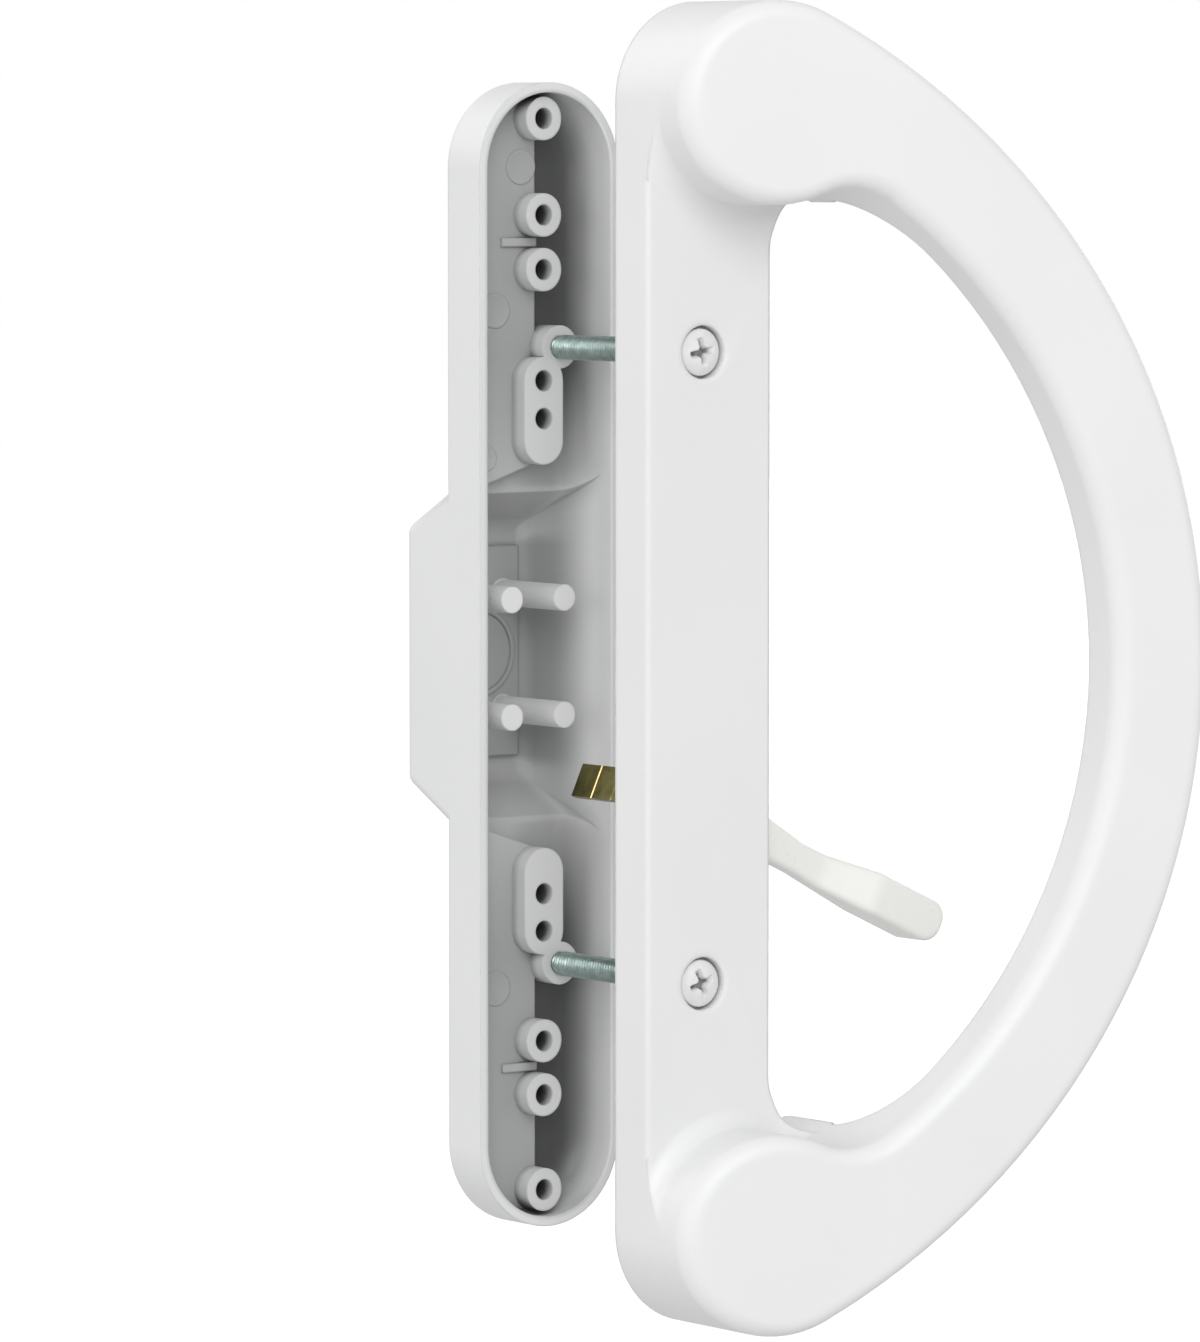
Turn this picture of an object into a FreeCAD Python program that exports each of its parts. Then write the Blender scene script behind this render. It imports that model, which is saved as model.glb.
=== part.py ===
import FreeCAD, Part
import math
import os

# Sliding patio door handle set, white diecast. The inside handle is a plate with a D grip,
# and a thumb lever in it turns a brass tailpiece. The outside pull is a hollow cast plate.
# Two long screws clamp the door between them.
# Millimetres. X points to the side that the grip reaches over, Y into the door, Z up.
# The origin is midway between the screw axes, on the back plane of the inside handle.

# Door and through screws
SCREW_SPACING = 100.0
DOOR_THICKNESS = 28.4
SCREW_RADIUS = 2.0
SCREW_NECK_RADIUS = 1.75
SCREW_NECK_PAST = 0.3
SCREW_LENGTH = 40.0
SCREW_HOLE_CLEARANCE = 0.25
TAPPED_HOLE_CLEARANCE = 0.05
HEAD_RADIUS = 3.75
HEAD_HEIGHT = 2.6
HEAD_CROWN = 0.9
HEAD_SINK = 0.35
HEAD_GAP = 0.5
CROWN_BANDS = 4
TIP_BEVEL = 0.5
TAP_ROOM = 0.2

# Plate of the inside handle
PLATE_WIDTH = 24.3
PLATE_DEPTH = 8.4
SCREW_FROM_LEFT = 11.4
PLATE_SKIN = 2.4
PLATE_WALL = 2.2
PLATE_EDGE_ROUND = 0.8
DISH_RADIUS = 5.3
DISH_DEPTH = 0.5
SCREW_TUBE_WALL = 1.6

# Ears and D grip
EAR_RADIUS = 16.0
EAR_HEIGHT = 89.2
EAR_DEPTH = 18.0
GRIP_SLOPE = 18.0
GRIP_REACH = 85.0
GRIP_WIDTH = 15.1
GRIP_THICKNESS = 9.5
HAND_FROM_EAR = 18.7
FRONT_ROUND = 2.7
ROUND_BANDS = 5
BACK_BEVEL = 2.0
NECK_RADIUS = 11.0
CORNER_RADIUS = 8.0
CORNER_RISE = 0.5
FLARE_RADIUS = 4.0
FLARE_BITE = 0.1
ARCH_START = 35.5
ARCH_RADIUS = 9.0
EAR_CORE_RADIUS = 10.0
EAR_CORE_DEPTH = 14.0

# Thumb lever
PIVOT_X = -3.8
PIVOT_Z = -19.4
LEVER_DROOP = 24.8
LEVER_SWING = 48.0
LEVER_REACH = 57.0
ROOT_START = 8.0
ROOT_ABOVE = 5.0
ARM_ABOVE = 2.2
ARM_BELOW = 3.0
PAD_ABOVE = 2.9
PAD_BELOW = 4.0
ROOT_END = 28.0
RAMP_START = 33.0
RAMP_END = 42.0
ARM_THICKNESS = 3.2
PAD_THICKNESS = 7.2
TIP_ROUND_ABOVE = 2.8
TIP_ROUND_BELOW = 3.2
CREASE_ROUND = 5.0
LEVER_EDGE_ROUND = 1.1
HUB_RADIUS = 5.2
HUB_FRONT_RADIUS = 4.3
HUB_FRONT_LENGTH = 1.1
HUB_REAR_RADIUS = 3.9
HUB_PROUD = 0.3
RUNNING_CLEARANCE = 0.06
SIDE_CLEARANCE = 0.05
SLOT_CLEARANCE = 0.6

# Tailpiece
TAIL_WIDTH = 5.6
TAIL_THICKNESS = 1.0
TAIL_REACH = 19.6
TAIL_HEAD_WIDTH = 7.3
TAIL_HEAD_LENGTH = 1.2
TAIL_CLEARANCE = 0.07
SCORE_PITCH = 5.2
SCORE_DEPTH = 0.16
SCORE_COUNT = 2

# Washer, retainer plate and its screws
WASHER_RADIUS = 5.1
WASHER_THICKNESS = 0.5
RETAINER_THICKNESS = 1.0
RETAINER_WIDTH = 10.4
RETAINER_SCREW_SPACING = 24.0
RETAINER_END = 3.6
RETAINER_SCREW_RADIUS = 1.1
RETAINER_HEAD_RADIUS = 2.1
RETAINER_HEAD_HEIGHT = 0.9
RETAINER_SCREW_LENGTH = 4.4
RETAINER_BOSS_RADIUS = 2.9
RETAINER_CORNER = 2.0

# Outside pull
PULL_WIDTH = 27.8
PULL_HEIGHT = 185.2
PULL_DEPTH = 9.6
PULL_WALL = 1.6
PULL_SKIN = 1.8
PULL_CENTRE_X = -3.2
PULL_EDGE_ROUND = 1.4
PULL_COVE = 5.5
RIB_HEIGHT = 66.9
RIB_WIDTH = 1.4
RIB_LENGTH = 6.8
RIB_RISE = 0.5
LEDGE_DEPTH = 5.0
LEDGE_WIDTH = 13.0
LEDGE_END = 31.2
LEDGE_SLANT = 4.7
HUMP_HEIGHT = 11.4
HUMP_HALF_LENGTH = 20.9
HUMP_BASE_HALF = 27.0
HUMP_TOP_WIDTH = 22.5
HUMP_BASE_WIDTH = 26.2
HUMP_FLOOR = 2.6
HUMP_FLOOR_ROUND = 4.0
HUMP_PAD_HALF = 17.2
HUMP_PAD_RIGHT = 8.4
HUMP_PAD_HEIGHT = 1.1
HUMP_ROUND = 2.2
BOSS_RECESS = 1.5
BOSS_RADIUS = 3.5
BOSS_HOLE_RADIUS = 1.7
BOSS_HOLE_DEPTH = 4.6
BOSS_HEIGHTS = (86.8, 71.3, 62.5)
TWIN_BOSS_RADIUS = 3.85
TWIN_BOSS_OUTER = 44.6
TWIN_BOSS_INNER = 34.9
TWIN_BOSS_HOLES = (44.6, 38.5)
POST_RADIUS = 2.15
POST_SPACING_X = 10.5
POST_SPACING_Z = 19.0
POST_RECESS = 0.4
POST_OFFSET = -1.9
BLANK_RING_RADIUS = 7.4
BLANK_RING_WIDTH = 0.8
BLANK_RING_HEIGHT = 0.4

# Sizes that follow from the ones above
PLATE_LEFT = -SCREW_FROM_LEFT
PLATE_RIGHT = PLATE_LEFT + PLATE_WIDTH
EAR_X = PLATE_LEFT + EAR_RADIUS
SLOPE = math.tan(math.radians(GRIP_SLOPE))
FLOOR_Y = PLATE_SKIN - PLATE_DEPTH
SCREW_HEIGHTS = (SCREW_SPACING / 2, -SCREW_SPACING / 2)
HEAD_BACK = HEAD_SINK + HEAD_HEIGHT - PLATE_DEPTH
ARM_FRONT = FLOOR_Y + SIDE_CLEARANCE
ARM_BACK = ARM_FRONT + ARM_THICKNESS
WASHER_BACK = ARM_BACK + SIDE_CLEARANCE + WASHER_THICKNESS
RETAINER_FRONT = WASHER_BACK + SIDE_CLEARANCE
RETAINER_BACK = RETAINER_FRONT + RETAINER_THICKNESS
RETAINER_TIP = RETAINER_BACK - RETAINER_SCREW_LENGTH
HUB_FRONT = ARM_FRONT - HUB_FRONT_LENGTH
HUB_BACK = RETAINER_BACK + HUB_PROUD
TAIL_FRONT = HUB_FRONT + SIDE_CLEARANCE
TAIL_SEAT = TAIL_FRONT + TAIL_HEAD_LENGTH
RIM_Y = DOOR_THICKNESS
PULL_FACE = RIM_Y + PULL_DEPTH
PULL_FLOOR = PULL_FACE - PULL_SKIN
PULL_LEFT = PULL_CENTRE_X - PULL_WIDTH / 2
PULL_RIGHT = PULL_CENTRE_X + PULL_WIDTH / 2
BOSS_FACE = RIM_Y + BOSS_RECESS
OVERSIZE = 200.0
Y_AXIS = FreeCAD.Vector(0, 1, 0)
Z_AXIS = FreeCAD.Vector(0, 0, 1)


def at(x, z, y=0.0):
    """Point by its place on the door and its depth."""
    return FreeCAD.Vector(x, y, z)


def rod(x, z, radius, y0, y1):
    """Cylinder along Y between two depths."""
    return Part.makeCylinder(radius, y1 - y0, at(x, z, y0), Y_AXIS)


def block(x0, x1, y0, y1, z0, z1):
    """Box between two corners."""
    return Part.makeBox(x1 - x0, y1 - y0, z1 - z0, at(x0, z0, y0))


def line(a, b):
    """Straight edge."""
    return Part.LineSegment(a, b).toShape()


def polar(centre, radius, angle):
    """Point on a circle in the door's plane, the angle from +X towards +Z."""
    turn = math.radians(angle)
    return centre + at(radius * math.cos(turn), radius * math.sin(turn))


def arc(centre, radius, start, end):
    """Arc in the door's plane between two angles."""
    middle = polar(centre, radius, (start + end) / 2)
    return Part.Arc(polar(centre, radius, start), middle, polar(centre, radius, end)).toShape()


def angle_of(vector):
    """Angle of a direction in the door's plane."""
    return math.degrees(math.atan2(vector.z, vector.x))


def prism(edges, y0, y1):
    """Solid from a closed outline in the door's plane, between two depths."""
    face = Part.Face(Part.Wire(edges))
    face.translate(at(0, 0, y0))
    return face.extrude(at(0, 0, y1 - y0))


def polygon(points):
    """Closed run of straight edges."""
    return [line(a, b) for a, b in zip(points, points[1:] + points[:1])]


def side_prism(edges, z0, z1):
    """Solid from an outline in the horizontal plane, between two heights."""
    face = Part.Face(Part.Wire(edges))
    face.translate(at(0, z0))
    return face.extrude(at(0, z1 - z0))


def mirrored(shape):
    """The same shape below the middle."""
    return shape.mirror(at(0, 0), Z_AXIS)


def fuse_all(shapes):
    """One solid from shapes that overlap."""
    return shapes[0].multiFuse(shapes[1:])


def circles_meet(c1, r1, c2, r2):
    """Where two circles cross, on the side that lies to the right of c1 to c2."""
    between = c2 - c1
    along = (r1 ** 2 - r2 ** 2 + between.Length ** 2) / (2 * between.Length)
    aside = math.sqrt(r1 ** 2 - along ** 2)
    unit = between / between.Length
    return c1 + unit * along + at(unit.z, -unit.x) * aside


def front_y(x):
    """Depth of the grip's sloping front face."""
    return -EAR_DEPTH - (x - PLATE_LEFT) * SLOPE


def back_y(x):
    """Depth of the grip's sloping back face."""
    return front_y(x) + GRIP_THICKNESS


# Centres of the arcs that bound the grip, tangent to each other
EAR = at(EAR_X, EAR_HEIGHT)
EAR_TO_REACH = GRIP_REACH - EAR_RADIUS
OUTER_RADIUS = (EAR_TO_REACH ** 2 + EAR_HEIGHT ** 2 - EAR_RADIUS ** 2) / (
    2 * (EAR_TO_REACH - EAR_RADIUS))
OUTER = at(PLATE_LEFT + GRIP_REACH - OUTER_RADIUS, 0)
HAND_X = PLATE_LEFT + GRIP_REACH - GRIP_WIDTH
HAND_RISE = EAR_HEIGHT - EAR_RADIUS
HAND_ACROSS = HAND_X - EAR_X - HAND_FROM_EAR
HAND_RADIUS = (HAND_ACROSS ** 2 + HAND_RISE ** 2) / (2 * HAND_ACROSS)
HAND = at(HAND_X - HAND_RADIUS, 0)
NECK = circles_meet(HAND, HAND_RADIUS - NECK_RADIUS, EAR, EAR_RADIUS + NECK_RADIUS)
CORNER_TOP = HAND_RISE + CORNER_RISE
CORNER = at(PLATE_RIGHT + CORNER_RADIUS, CORNER_TOP - CORNER_RADIUS)
OUTER_ANGLE = angle_of(EAR - OUTER)
NECK_ANGLE = angle_of(NECK - EAR)
HAND_ANGLE = angle_of(NECK - HAND)
CORNER_ANGLE = math.degrees(math.asin(CORNER_TOP / HAND_RADIUS))


def below(point):
    """Mirror image of a point."""
    return at(point.x, -point.z)


def grip_arcs():
    """Arcs of the C that both ears and the grip form, each tangent to the next.

    Each is its centre, its radius, 1 where the metal is inside it or -1, and two angles.
    """
    return [
        (EAR, EAR_RADIUS, 1, OUTER_ANGLE, 360 + NECK_ANGLE),
        (NECK, NECK_RADIUS, -1, 180 + NECK_ANGLE, HAND_ANGLE),
        (HAND, HAND_RADIUS, -1, HAND_ANGLE, -HAND_ANGLE),
        (below(NECK), NECK_RADIUS, -1, -HAND_ANGLE, -180 - NECK_ANGLE),
        (below(EAR), EAR_RADIUS, 1, -360 - NECK_ANGLE, -OUTER_ANGLE),
        (OUTER, OUTER_RADIUS, 1, -OUTER_ANGLE, OUTER_ANGLE),
    ]


def cap(inset, y):
    """Flat face of the C at one depth, its outline drawn in."""
    edges = [arc(centre, radius - side * inset, start, end)
             for centre, radius, side, start, end in grip_arcs()]
    face = Part.Face(Part.Wire(edges))
    face.translate(at(0, 0, y))
    return face


def wall(centre, radius, side, start, end):
    """Wall of the C over one arc, its front edge rounded in narrow bands."""
    def place(turn):
        inset = FRONT_ROUND * (1 - math.sin(turn))
        y = FRONT_ROUND * (1 - math.cos(turn)) - EAR_DEPTH
        return polar(centre, radius - side * inset, start) + at(0, 0, y)

    turns = [math.pi / 2 * step / ROUND_BANDS for step in range(ROUND_BANDS + 1)]
    edges = [Part.Arc(place(a), place((a + b) / 2), place(b)).toShape()
             for a, b in zip(turns, turns[1:])]
    back = polar(centre, radius, start) + at(0, 0, OVERSIZE)
    edges.append(line(place(turns[-1]), back))
    return [edge.revolve(centre, Y_AXIS * -1, end - start) for edge in edges]


def leaned(shape):
    """Shape with its depth sheared, so that a level face takes the grip's slope."""
    shear = FreeCAD.Matrix()
    shear.A21 = -SLOPE
    shear.A24 = SLOPE * PLATE_LEFT
    return shape.transformGeometry(shear)


def arch():
    """The finger room behind the grip, rising from the door, before the grip is leaned."""
    start = PLATE_LEFT + ARCH_START
    level = GRIP_THICKNESS - EAR_DEPTH
    centre = at(start + ARCH_RADIUS, 0, level + ARCH_RADIUS)
    first = centre - at(ARCH_RADIUS, 0)
    last = centre - at(0, 0, ARCH_RADIUS)
    middle = centre - at(ARCH_RADIUS, 0, ARCH_RADIUS) * math.sqrt(0.5)
    far = PLATE_LEFT + GRIP_REACH + PLATE_WIDTH
    rest = [last, at(far, 0, level), at(far, 0, OVERSIZE), at(start, 0, OVERSIZE), first]
    edges = [Part.Arc(first, middle, last).toShape()]
    edges += [line(a, b) for a, b in zip(rest, rest[1:])]
    return side_prism(edges, -OVERSIZE, OVERSIZE)


def back_edges(shape):
    """Edges around the sloping back of the grip."""
    return [edge for edge in shape.Edges
            if all(abs(point.y - back_y(point.x)) < 0.001 for point in edge.discretize(7))]


def grip():
    """Ears and grip, leaned to the grip's slope, with finger room behind."""
    faces = [cap(FRONT_ROUND, -EAR_DEPTH), cap(0, OVERSIZE)]
    for section in grip_arcs():
        faces += wall(*section)
    shell = Part.makeShell(faces)
    shell.sewShape()
    body = Part.makeSolid(shell)
    behind_door = block(-OVERSIZE, OVERSIZE, 0, 3 * OVERSIZE, -OVERSIZE, OVERSIZE)
    body = leaned(body.cut(arch())).cut(behind_door)
    return body.makeChamfer(BACK_BEVEL, back_edges(body))


def flare_section(centre, radius, side, angle):
    """Section of the foot that blends a wall of the grip into the plate."""
    inner = FLARE_RADIUS - FLARE_BITE
    deep = -PLATE_DEPTH - inner

    def place(out, y):
        return polar(centre, radius + side * out, angle) + at(0, 0, y)

    lean = FLARE_RADIUS * math.sqrt(0.5)
    top = place(inner - FLARE_RADIUS, deep)
    middle = place(inner - lean, deep + lean)
    foot = place(inner, deep + FLARE_RADIUS)
    rest = [foot, place(inner, FLOOR_Y), place(-1, FLOOR_Y), place(-1, deep), top]
    edges = [Part.Arc(top, middle, foot).toShape()]
    edges += [line(a, b) for a, b in zip(rest, rest[1:])]
    return Part.Face(Part.Wire(edges))


def flare_turn(centre, radius, side, start, end):
    """The flare turned about one of the outline's centres."""
    section = flare_section(centre, radius, side, start)
    return section.revolve(centre, Y_AXIS * -1, end - start)


def flares():
    """The blend around the upper ear and its neck, down to the corner of the hand gap."""
    parts = [
        flare_turn(EAR, EAR_RADIUS, 1, 180, 360 + NECK_ANGLE),
        flare_turn(NECK, NECK_RADIUS, -1, 180 + NECK_ANGLE, HAND_ANGLE),
        flare_turn(HAND, HAND_RADIUS, -1, HAND_ANGLE, CORNER_ANGLE),
    ]
    keep = block(PLATE_LEFT, OVERSIZE, -OVERSIZE, OVERSIZE, 0, OVERSIZE)
    return [part.common(keep).cut(corner_void()).cut(leaned(arch())) for part in parts]


def corner_void():
    """Space of the hand gap inside its rounded upper corner."""
    top = at(CORNER.x, CORNER_TOP)
    meet = polar(HAND, HAND_RADIUS, CORNER_ANGLE)
    edges = [
        arc(CORNER, CORNER_RADIUS, 180, 90),
        line(top, meet),
        arc(HAND, HAND_RADIUS, CORNER_ANGLE, 0),
        line(at(HAND_X, 0), at(PLATE_RIGHT, 0)),
        line(at(PLATE_RIGHT, 0), at(PLATE_RIGHT, CORNER.z)),
    ]
    return prism(edges, -OVERSIZE, OVERSIZE)


def plate():
    """The flat plate, widened at both ends to the rounded corners of the hand gap."""
    right = PLATE_LEFT + ARCH_START + FLARE_RADIUS
    upper = [at(CORNER.x, CORNER_TOP), at(right, CORNER_TOP), at(right, EAR_HEIGHT), EAR,
             at(PLATE_LEFT, EAR_HEIGHT)]
    rest = upper + [below(point) for point in reversed(upper)]
    edges = [arc(CORNER, CORNER_RADIUS, 180, 90)]
    edges += [line(a, b) for a, b in zip(rest, rest[1:])]
    edges.append(arc(below(CORNER), CORNER_RADIUS, -90, -180))
    edges.append(line(at(PLATE_RIGHT, -CORNER.z), at(PLATE_RIGHT, CORNER.z)))
    body = prism(edges, -PLATE_DEPTH, 0)
    left = [edge for edge in body.Edges if edge.BoundBox.YMax < 0.001 - PLATE_DEPTH
            and edge.BoundBox.XMax < PLATE_LEFT + 0.001]
    return body.makeFillet(PLATE_EDGE_ROUND, left).cut(leaned(arch()))


def plate_cavity():
    """Hollow back of the plate between the cored ears."""
    end = EAR_HEIGHT - EAR_RADIUS
    return block(PLATE_LEFT + PLATE_WALL, PLATE_RIGHT - PLATE_WALL, FLOOR_Y, PLATE_DEPTH,
                 -end, end)


def lever_slot():
    """Notch in the plate's right wall that the lever swings in."""
    reach = PLATE_RIGHT - PIVOT_X
    turn = math.radians(LEVER_DROOP)
    low = PIVOT_Z - reach * math.tan(turn) - ARM_BELOW / math.cos(turn) - SLOT_CLEARANCE
    turn = math.radians(LEVER_SWING - LEVER_DROOP)
    high = PIVOT_Z + reach * math.tan(turn) + ROOT_ABOVE / math.cos(turn) + SLOT_CLEARANCE
    return block(PLATE_RIGHT - 2 * PLATE_WALL, PLATE_RIGHT + PLATE_WALL, FLOOR_Y,
                 PLATE_DEPTH, low, high)


def retainer_screw_heights():
    """Heights of the two screws that hold the retainer."""
    return (PIVOT_Z + RETAINER_SCREW_SPACING / 2, PIVOT_Z - RETAINER_SCREW_SPACING / 2)


def inside_handle():
    """Plate, ears and grip as one casting, hollow behind."""
    upper = flares()
    body = fuse_all([plate(), grip()] + upper + [mirrored(part) for part in upper])
    body = body.cut(plate_cavity())
    for side in (1, -1):
        core = rod(EAR_X, side * EAR_HEIGHT, EAR_CORE_RADIUS, -EAR_CORE_DEPTH, PLATE_DEPTH)
        body = body.cut(core)
    head_bore = HEAD_RADIUS + HEAD_GAP
    additions = [rod(0, z, head_bore + SCREW_TUBE_WALL, 1 - PLATE_DEPTH, 0)
                 for z in SCREW_HEIGHTS]
    additions += [rod(PIVOT_X, z, RETAINER_BOSS_RADIUS, 1 - PLATE_DEPTH, RETAINER_FRONT)
                  for z in retainer_screw_heights()]
    body = fuse_all([body] + additions)
    for z in SCREW_HEIGHTS:
        body = body.cut(rod(0, z, head_bore, -OVERSIZE, HEAD_BACK))
        body = body.cut(rod(0, z, SCREW_RADIUS + SCREW_HOLE_CLEARANCE, -OVERSIZE, OVERSIZE))
        body = body.cut(Part.makeCone(DISH_RADIUS, head_bore, DISH_DEPTH,
                                      at(0, z, -PLATE_DEPTH), Y_AXIS))
    for z in retainer_screw_heights():
        body = body.cut(rod(PIVOT_X, z, RETAINER_SCREW_RADIUS + TAPPED_HOLE_CLEARANCE,
                            RETAINER_TIP - TAP_ROOM, OVERSIZE))
    recess = rod(PIVOT_X, PIVOT_Z, HUB_FRONT_RADIUS + RUNNING_CLEARANCE,
                 HUB_FRONT - SIDE_CLEARANCE, 0)
    return body.cut(recess).cut(lever_slot())


def turned(points, x, z):
    """Solid turned around the axis along Y at x and z, from (radius, depth) points."""
    wire = Part.makePolygon([at(x + r, z, y) for r, y in points + points[:1]])
    return Part.Face(wire).revolve(at(x, z), Y_AXIS, 360)


def mounting_screw(z):
    """Long machine screw with a crowned head."""
    top = HEAD_BACK - HEAD_HEIGHT
    sphere = (HEAD_RADIUS ** 2 + HEAD_CROWN ** 2) / (2 * HEAD_CROWN)
    crown = []
    for step in range(CROWN_BANDS + 1):
        radius = HEAD_RADIUS * step / CROWN_BANDS
        crown.append((radius, top + sphere - math.sqrt(sphere ** 2 - radius ** 2)))
    tip = HEAD_BACK + SCREW_LENGTH
    return turned(crown + [
        (HEAD_RADIUS, HEAD_BACK), (SCREW_NECK_RADIUS, HEAD_BACK),
        (SCREW_NECK_RADIUS, SCREW_NECK_PAST), (SCREW_RADIUS, SCREW_NECK_PAST),
        (SCREW_RADIUS, BOSS_FACE - SCREW_NECK_PAST),
        (SCREW_NECK_RADIUS, BOSS_FACE - SCREW_NECK_PAST), (SCREW_NECK_RADIUS, tip - TIP_BEVEL),
        (SCREW_NECK_RADIUS - TIP_BEVEL, tip), (0, tip)], 0, z)


def placed(shape):
    """A piece of the lever, drawn level at the origin, turned to hang at its pivot."""
    shape.rotate(at(0, 0), Y_AXIS, LEVER_DROOP)
    shape.translate(at(PIVOT_X, PIVOT_Z))
    return shape


def blade():
    """Arm and thumb pad of the lever, drawn level."""
    pad_front = ARM_BACK - PAD_THICKNESS
    plan = [at(0, HUB_RADIUS), at(ROOT_START, ROOT_ABOVE), at(ROOT_END, ARM_ABOVE),
            at(RAMP_START, ARM_ABOVE),
            at(RAMP_END, PAD_ABOVE), at(LEVER_REACH, PAD_ABOVE), at(LEVER_REACH, -PAD_BELOW),
            at(RAMP_END, -PAD_BELOW), at(ROOT_END, -ARM_BELOW), at(0, -ARM_BELOW)]
    side = [at(0, 0, ARM_BACK), at(0, 0, ARM_FRONT), at(RAMP_START, 0, ARM_FRONT),
            at(RAMP_END, 0, pad_front), at(OVERSIZE, 0, pad_front),
            at(OVERSIZE, 0, ARM_BACK)]
    flat = prism(polygon(plan), pad_front - 1, ARM_BACK + 1)
    tip_above = [edge for edge in flat.Edges if edge.BoundBox.XMin > LEVER_REACH - 0.001
                 and edge.BoundBox.ZMin > 0]
    flat = flat.makeFillet(TIP_ROUND_ABOVE, tip_above)
    tip_below = [edge for edge in flat.Edges if edge.BoundBox.XMin > LEVER_REACH - 0.001
                 and edge.BoundBox.ZMax < -PAD_BELOW + 0.001]
    flat = flat.makeFillet(TIP_ROUND_BELOW, tip_below)
    bent = side_prism(polygon(side), -OVERSIZE, OVERSIZE)
    creases = [edge for edge in bent.Edges if edge.BoundBox.ZLength > 1
               and RAMP_START - 0.001 < edge.BoundBox.XMin
               and edge.BoundBox.XMax < RAMP_END + 0.001]
    bent = bent.makeFillet(CREASE_ROUND, creases)
    body = flat.common(bent)
    front = [edge for edge in body.Edges if edge.BoundBox.XMax > ROOT_START / 2
             and edge.BoundBox.YMax < ARM_FRONT + 0.001]
    rim = [edge for edge in front if edge.BoundBox.ZMin > 0 or edge.BoundBox.ZMax < 0
           or edge.BoundBox.XMax > LEVER_REACH - 0.001]
    return body.makeFillet(LEVER_EDGE_ROUND, rim)


def thumb_lever():
    """Lever with its hub, slotted for the tailpiece."""
    hub = rod(0, 0, HUB_RADIUS, ARM_FRONT, ARM_BACK)
    front = rod(0, 0, HUB_FRONT_RADIUS, HUB_FRONT, ARM_BACK)
    rear = rod(0, 0, HUB_REAR_RADIUS, ARM_FRONT, HUB_BACK)
    body = fuse_all([blade(), hub, front, rear]).removeSplitter()
    half = TAIL_WIDTH / 2 + TAIL_CLEARANCE
    thin = TAIL_THICKNESS / 2 + TAIL_CLEARANCE
    body = body.cut(block(-thin, thin, -OVERSIZE, OVERSIZE, -half, half))
    half = TAIL_HEAD_WIDTH / 2 + TAIL_CLEARANCE
    return placed(body.cut(block(-thin, thin, -OVERSIZE, TAIL_SEAT, -half, half)))


def tailpiece():
    """Flat strip through the hub, with break-off scores across it."""
    thin = TAIL_THICKNESS / 2
    strip = block(-thin, thin, TAIL_FRONT, TAIL_REACH, -TAIL_WIDTH / 2, TAIL_WIDTH / 2)
    head = block(-thin, thin, TAIL_FRONT, TAIL_SEAT, -TAIL_HEAD_WIDTH / 2,
                 TAIL_HEAD_WIDTH / 2)
    body = strip.fuse(head).removeSplitter()
    for step in range(SCORE_COUNT):
        y = TAIL_REACH - SCORE_PITCH * (step + 1)
        for side in (1, -1):
            edge = side * thin
            notch = [at(edge - side * SCORE_DEPTH, 0, y),
                     at(edge + side * SCORE_DEPTH, 0, y - 2 * SCORE_DEPTH),
                     at(edge + side * SCORE_DEPTH, 0, y + 2 * SCORE_DEPTH)]
            body = body.cut(side_prism(polygon(notch), -TAIL_WIDTH, TAIL_WIDTH))
    return placed(body)


def friction_washer():
    """Thin washer behind the lever."""
    ring = rod(PIVOT_X, PIVOT_Z, WASHER_RADIUS, WASHER_BACK - WASHER_THICKNESS, WASHER_BACK)
    bore = HUB_REAR_RADIUS + RUNNING_CLEARANCE
    return ring.cut(rod(PIVOT_X, PIVOT_Z, bore, -OVERSIZE, OVERSIZE))


def retainer_plate():
    """Flat plate that keeps the lever in its recess."""
    half = RETAINER_SCREW_SPACING / 2 + RETAINER_END
    body = block(PIVOT_X - RETAINER_WIDTH / 2, PIVOT_X + RETAINER_WIDTH / 2, RETAINER_FRONT,
                 RETAINER_BACK, PIVOT_Z - half, PIVOT_Z + half)
    corners = [edge for edge in body.Edges if edge.BoundBox.YLength > RETAINER_THICKNESS / 2]
    body = body.makeFillet(RETAINER_CORNER, corners)
    bore = HUB_REAR_RADIUS + RUNNING_CLEARANCE
    body = body.cut(rod(PIVOT_X, PIVOT_Z, bore, -OVERSIZE, OVERSIZE))
    for z in retainer_screw_heights():
        hole = RETAINER_SCREW_RADIUS + SCREW_HOLE_CLEARANCE
        body = body.cut(rod(PIVOT_X, z, hole, -OVERSIZE, OVERSIZE))
    return body


def retainer_screws():
    """The two short screws of the retainer."""
    screws = []
    for z in retainer_screw_heights():
        head_top = RETAINER_BACK + RETAINER_HEAD_HEIGHT
        head = turned([(0, RETAINER_BACK), (RETAINER_HEAD_RADIUS, RETAINER_BACK),
                       (RETAINER_HEAD_RADIUS, head_top - RETAINER_HEAD_HEIGHT / 3),
                       (RETAINER_HEAD_RADIUS * 0.7, head_top), (0, head_top)], PIVOT_X, z)
        shank = rod(PIVOT_X, z, RETAINER_SCREW_RADIUS, RETAINER_TIP, RETAINER_BACK)
        screws.append(head.fuse(shank).removeSplitter())
    return Part.makeCompound(screws)


def stadium(x, half_width, half_height, y0, y1):
    """Upright plate with round ends."""
    straight = half_height - half_width
    centre = at(x, straight)
    edges = [arc(centre, half_width, 0, 180),
             line(at(x - half_width, straight), at(x - half_width, -straight)),
             arc(below(centre), half_width, 180, 360),
             line(at(x + half_width, -straight), at(x + half_width, straight))]
    return prism(edges, y0, y1)


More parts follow.
